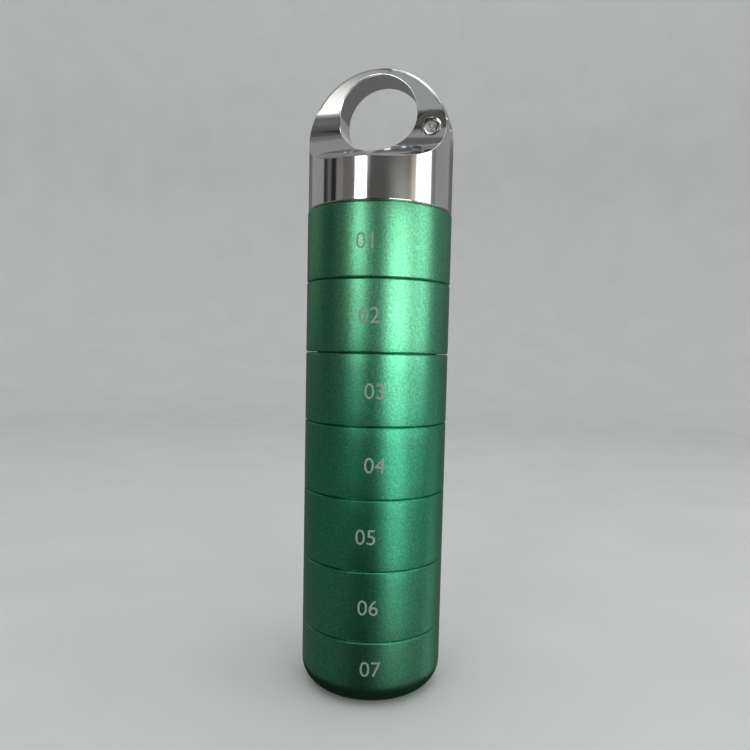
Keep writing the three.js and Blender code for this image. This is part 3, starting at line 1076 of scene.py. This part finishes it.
def glow(name, colour, strength, soft):
    """Even light that fades out over a share of the width, and of the height, inside the edges. A colour
    given as one number is a grey."""
    if not isinstance(colour, tuple):
        colour = (colour, colour, colour)
    finish = Finish(name)
    finish.nodes.remove(finish.shader)
    light = finish.node("Emission", {"Color": colour, "Strength": strength}).outputs["Emission"]
    if max(soft) > 0:
        split = finish.node("SeparateXYZ", {"Vector": finish.node("UVMap", {}).outputs["UV"]})
        edges = [("X", 0, soft[0]), ("X", 1, 1 - soft[0]), ("Y", 0, soft[1]), ("Y", 1, 1 - soft[1])]
        shares = [finish.faded_in(split.outputs[axis], start, end) for axis, start, end in edges]
        factor = shares[0]
        for share in shares[1:]:
            factor = finish.node("Math", {0: factor, 1: share}, operation="MULTIPLY").outputs["Value"]
        clear = finish.node("BsdfTransparent", {}).outputs["BSDF"]
        light = finish.node("MixShader", {0: factor, 1: clear, 2: light}).outputs["Shader"]
    finish.give(finish.nodes["Material Output"].inputs["Surface"], light)
    return finish.material


# The assembly

def finished(obj, material, body, slot, *nodes):
    """Gives a piece its material and its body, and hides the CAD nodes that it stands for. The slot is not
    used.
    """
    obj.data.materials.clear()
    obj.data.materials.append(material)
    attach(obj, body)
    if nodes:
        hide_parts(*nodes)
    return obj


def make_cups():
    """The seven cups with their numbers, and the gaskets in the sockets."""
    green, rubber, mark = green_anodised(), black_rubber(), laser_mark()
    for place, day in enumerate(DAYS):
        cup = placed(cup_mesh(day), day + "_turned", SEAM[day], CUP_SHARP_OVER)
        finished(cup, green, day, "anodised_green", day + "_cup")
        azimuth = math.radians(NUMBER_AZIMUTHS[day])
        number = number_mesh(f"{len(DAYS) - place:02}", azimuth, NUMBER_MIDDLES[day])
        number = placed(number, day + "_number", SEAM[day], NUMBER_SHARP_OVER)
        finished(number, mark, day, "anodised_green")
    for piece in DAYS[1:] + ["cap"]:
        gasket = placed(gasket_mesh(piece + "_washer"), piece + "_washer", SEAM[piece])
        finished(gasket, rubber, piece + "_seal", "seal", piece + "_gasket")


def make_cap():
    """The cap, its gate, the rivet and the spring."""
    polish, steel = polished_cap(), turned_steel()
    cap, gate, pin_end = cap_and_gate()
    finished(placed(cap, "milled_cap", CAP_SEAM), polish, "cap", "polished_cap", "ring_cap")
    finished(placed(gate, "spring_gate", CAP_SEAM), polish, "gate", "polished_cap", "gate")
    finished(placed(pin_mesh(pin_end), "rivet", CAP_SEAM), steel, "cap", "steel", "gate_pin")
    finished(placed(spring_mesh(), "torsion_spring", CAP_SEAM), steel, "gate", "steel", "gate_spring")


# Stage, light and camera

def screen(name, azimuths, elevations, radius, colour, strength=1.0, soft=(0.0, 0.0), lamp=False):
    """Part of a sphere round the case, between two azimuths counted from the camera's and two elevations:
    x = r cos(elevation) sin(azimuth), y = -r cos(elevation) cos(azimuth), z = r sin(elevation). The metal
    mirrors it, and only a lamp also lights the floor."""
    columns, rows = LAMP_GRID if lamp else SCREEN_GRID
    u, v = np.meshgrid(np.linspace(0, 1, columns), np.linspace(0, 1, rows))
    a = np.radians(azimuths[0] + (azimuths[1] - azimuths[0]) * u) + CAMERA_AZIMUTH
    e = np.radians(elevations[0] + (elevations[1] - elevations[0]) * v)
    outwards = points_of(np.cos(e) * np.sin(a), -np.cos(e) * np.cos(a), np.sin(e))
    points = outwards * radius + [0, 0, CAP_SEAM * MM]
    mesh = mesh_from(name, points.reshape(-1, 3), [grid_faces(rows, columns, False)[:, ::-1]])
    layer = mesh.uv_layers.new(name="UVMap")
    uv = np.stack([u, v], -1).reshape(-1, 2)[read_from(mesh.loops, "vertex_index", 1, np.int32)]
    layer.data.foreach_set("uv", uv.astype(np.float32).ravel())
    hung(mesh, glow(name, colour, strength, soft), lamp)


def hung(mesh, material, lamp=False):
    """Puts up a glowing mesh. The camera doesn't see it, it casts no shadow, and only a lamp lights what
    is matt."""
    material.cycles.emission_sampling = "FRONT_BACK" if lamp else "NONE"
    mesh.materials.append(material)
    obj = linked(mesh.name, mesh)
    obj.visible_camera = False
    obj.visible_diffuse = lamp
    obj.visible_shadow = False


def contact_shade():
    """A dark disc just under the floor, which the metal round the foot mirrors in place of the floor."""
    angles = round_turn(SHADE_SIDES)
    points = about_axis(SHADE_RADIUS * MM, -SHADE_DEPTH * MM, angles)
    mesh = mesh_from("contact_shade", points, [np.arange(SHADE_SIDES)[None, :]])
    hung(mesh, glow("contact_shade", SHADE_GREY, 1.0, (0.0, 0.0)))


def make_stage():
    """A round pale floor that curves up into a wall all round. The metal doesn't mirror it."""
    turn = np.linspace(-math.pi / 2, 0, BEND_STEPS)
    arc = np.stack([FLOOR_RADIUS + BEND_RADIUS * np.cos(turn), BEND_RADIUS + BEND_RADIUS * np.sin(turn)], -1)
    profile = np.concatenate([[[0, 0], [FLOOR_MIDDLE, 0]], arc, [[FLOOR_RADIUS + BEND_RADIUS, WALL_TOP]]])
    angles = round_turn(STAGE_SIDES)
    grid = about_axis(profile[:, :1], profile[:, 1:], angles)
    faces = grid_faces(len(profile), STAGE_SIDES, True)
    floor = linked("floor", mesh_from("floor", grid.reshape(-1, 3), [faces[:, ::-1]]))
    floor.data.materials.append(stage_paper())
    floor.visible_glossy = False


def make_lights():
    """An even world for what is matt and, for the metal, a tent of screens, each as bright and as soft as
    that part of the room in the photograph."""
    world = bpy.data.worlds.new("studio")
    bpy.context.scene.world = world
    world.use_nodes = True
    background = world.node_tree.nodes["Background"]
    background.inputs["Color"].default_value = (0.97, 0.98, 0.98, 1)
    background.inputs["Strength"].default_value = 1.2
    world.cycles_visibility.glossy = False
    dim, warm, cream = (0.085, 0.083, 0.078), (0.20, 0.19, 0.16), (1.0, 1.0, 0.95)
    screen("tent", (-180, 180), (-89.9, 89.9), 0.60, (0.27, 0.27, 0.265))
    screen("behind", (112, 225), (-89, 6), 0.597, 0.13, soft=(0.15, 0.04))
    screen("behind_low", (200, 262), (-89, 6), 0.5965, 0.13, soft=(0.1, 0.1))
    screen("behind_high", (133, 225), (0, 20), 0.5965, 0.13, soft=(0.08, 0.15))
    screen("back_wall", (156, 220), (19, 38), 0.596, (0.44, 0.44, 0.43), soft=(0.3, 0.3))
    screen("right_side", (84, 124), (-70, -5), 0.594, 0.42, soft=(0.3, 0.2))
    screen("dark_room", (-100, 94), (-89.9, 63), 0.59, dim, soft=(0.01, 0.02))
    screen("left_low", (-115, -45), (-42, -6), 0.588, (0.14, 0.14, 0.135), soft=(0.2, 0.2))
    screen("right_low", (42, 92), (-42, -6), 0.587, (0.28, 0.28, 0.27), soft=(0.3, 0.3))
    screen("front_low", (-36, 13), (-75, -5), 0.586, 0.006, soft=(0.2, 0.1))
    screen("under", (-180, 180), (-89.9, -36), 0.585, 0.012, soft=(0, 0.15))
    screen("left_black", (-83, -72), (4, 62), 0.58, 0.02, soft=(0.18, 0.05))
    screen("left_grey", (-91, -82), (4, 62), 0.58, 0.115, soft=(0.2, 0.05))
    screen("left_dark", (-100, -90), (4, 62), 0.58, 0.035, soft=(0.18, 0.05))
    screen("left_warm", (-73, -58), (-4, 22), 0.57, warm, soft=(0.15, 0.3))
    screen("left_brown", (-60, -40), (-4, 22), 0.572, (0.135, 0.13, 0.115), soft=(0.15, 0.3))
    screen("left_shade", (-46, -27.5), (22, 52), 0.575, (0.15, 0.155, 0.16), soft=(0.1, 0.6))
    screen("left_line", (-46, -27.5), (50, 63.5), 0.574, 0.03, soft=(0.1, 0.25))
    screen("veil", (-100, -27), (58, 70), 0.573, 0.15, soft=(0.2, 0.5))
    screen("right_warm", (2, 64), (-10, 22), 0.57, (0.24, 0.235, 0.215), soft=(0.5, 0.3))
    screen("right_pink", (43, 60), (-10, 22), 0.56, (0.60, 0.51, 0.45), soft=(0.5, 0.3))
    screen("right_grey", (84, 94), (4, 60), 0.57, 0.19, soft=(0.3, 0.1))
    screen("haze", (-42, -14), (12, 31), 0.55, (0.31, 0.32, 0.32), soft=(0.2, 0.3))
    screen("window_left", (-40.5, -20.5), (0, 18), 0.5, cream, 5.0, soft=(0.15, 0.1), lamp=True)
    screen("window_top", (-43, -26), (16.5, 25), 0.5, cream, 1.25, soft=(0.1, 0.3), lamp=True)
    screen("lamp_right", (12, 49), (-4, 10), 0.5, (1.0, 1.0, 0.98), 7.4, soft=(0.1, 0.15), lamp=True)
    screen("lamp_low", (17, 54), (-34, -3), 0.51, (1.0, 1.0, 0.98), 1.7, soft=(0.2, 0.5))
    screen("window_right", (53, 86), (-10, 26), 0.5, (0.98, 1.0, 1.0), 2.7, soft=(0.2, 0.2), lamp=True)
    screen("ceiling", (-18, 66), (56, 75), 0.56, 1.0, 1.8, soft=(0.25, 0.2))
    screen("zenith", (-180, -55), (75, 89.9), 0.572, 0.12, soft=(0.08, 0.1))
    screen("sky_left", (180, 200), (76, 87), 0.55, 1.0, 1.3, soft=(0.2, 0.1))
    screen("sky_behind", (60, 178), (46, 86), 0.55, 1.0, 1.5, soft=(0.1, 0.1), lamp=True)
    contact_shade()


def make_camera():
    """The photograph's camera: right, up and forward are the rows of a turn about the fitted small angles,
    then everything is turned about the case's axis to the fitted azimuth."""
    rx, ry, rz = CAMERA_TURNS
    turns = Matrix.Rotation(rx, 3, "X") @ Matrix.Rotation(ry, 3, "Y") @ Matrix.Rotation(rz, 3, "Z")
    right, up, forward = turns @ Matrix(((1, 0, 0), (0, 0, 1), (0, 1, 0)))
    frame_of = Matrix((right, up, -forward)).transposed().to_4x4()
    frame_of = Matrix.Rotation(CAMERA_AZIMUTH, 4, "Z") @ Matrix.Translation(
        (0, -CAMERA_DISTANCE * MM, CAMERA_HEIGHT * MM)) @ frame_of
    data = bpy.data.cameras.new("camera")
    data.sensor_width = 36
    data.lens = data.sensor_width * FOCAL_PIXELS / PHOTO_SIDE
    data.shift_x = (PHOTO_SIDE / 2 - AXIS_PIXEL_X) / PHOTO_SIDE
    data.shift_y = (AXIS_PIXEL_Y - PHOTO_SIDE / 2) / PHOTO_SIDE
    data.clip_start = 0.01
    camera = linked("camera", data)
    camera.matrix_world = frame_of
    bpy.context.scene.camera = camera


bpy.context.scene.view_settings.view_transform = "Standard"
make_camera()
make_cups()
make_cap()
make_stage()
make_lights()
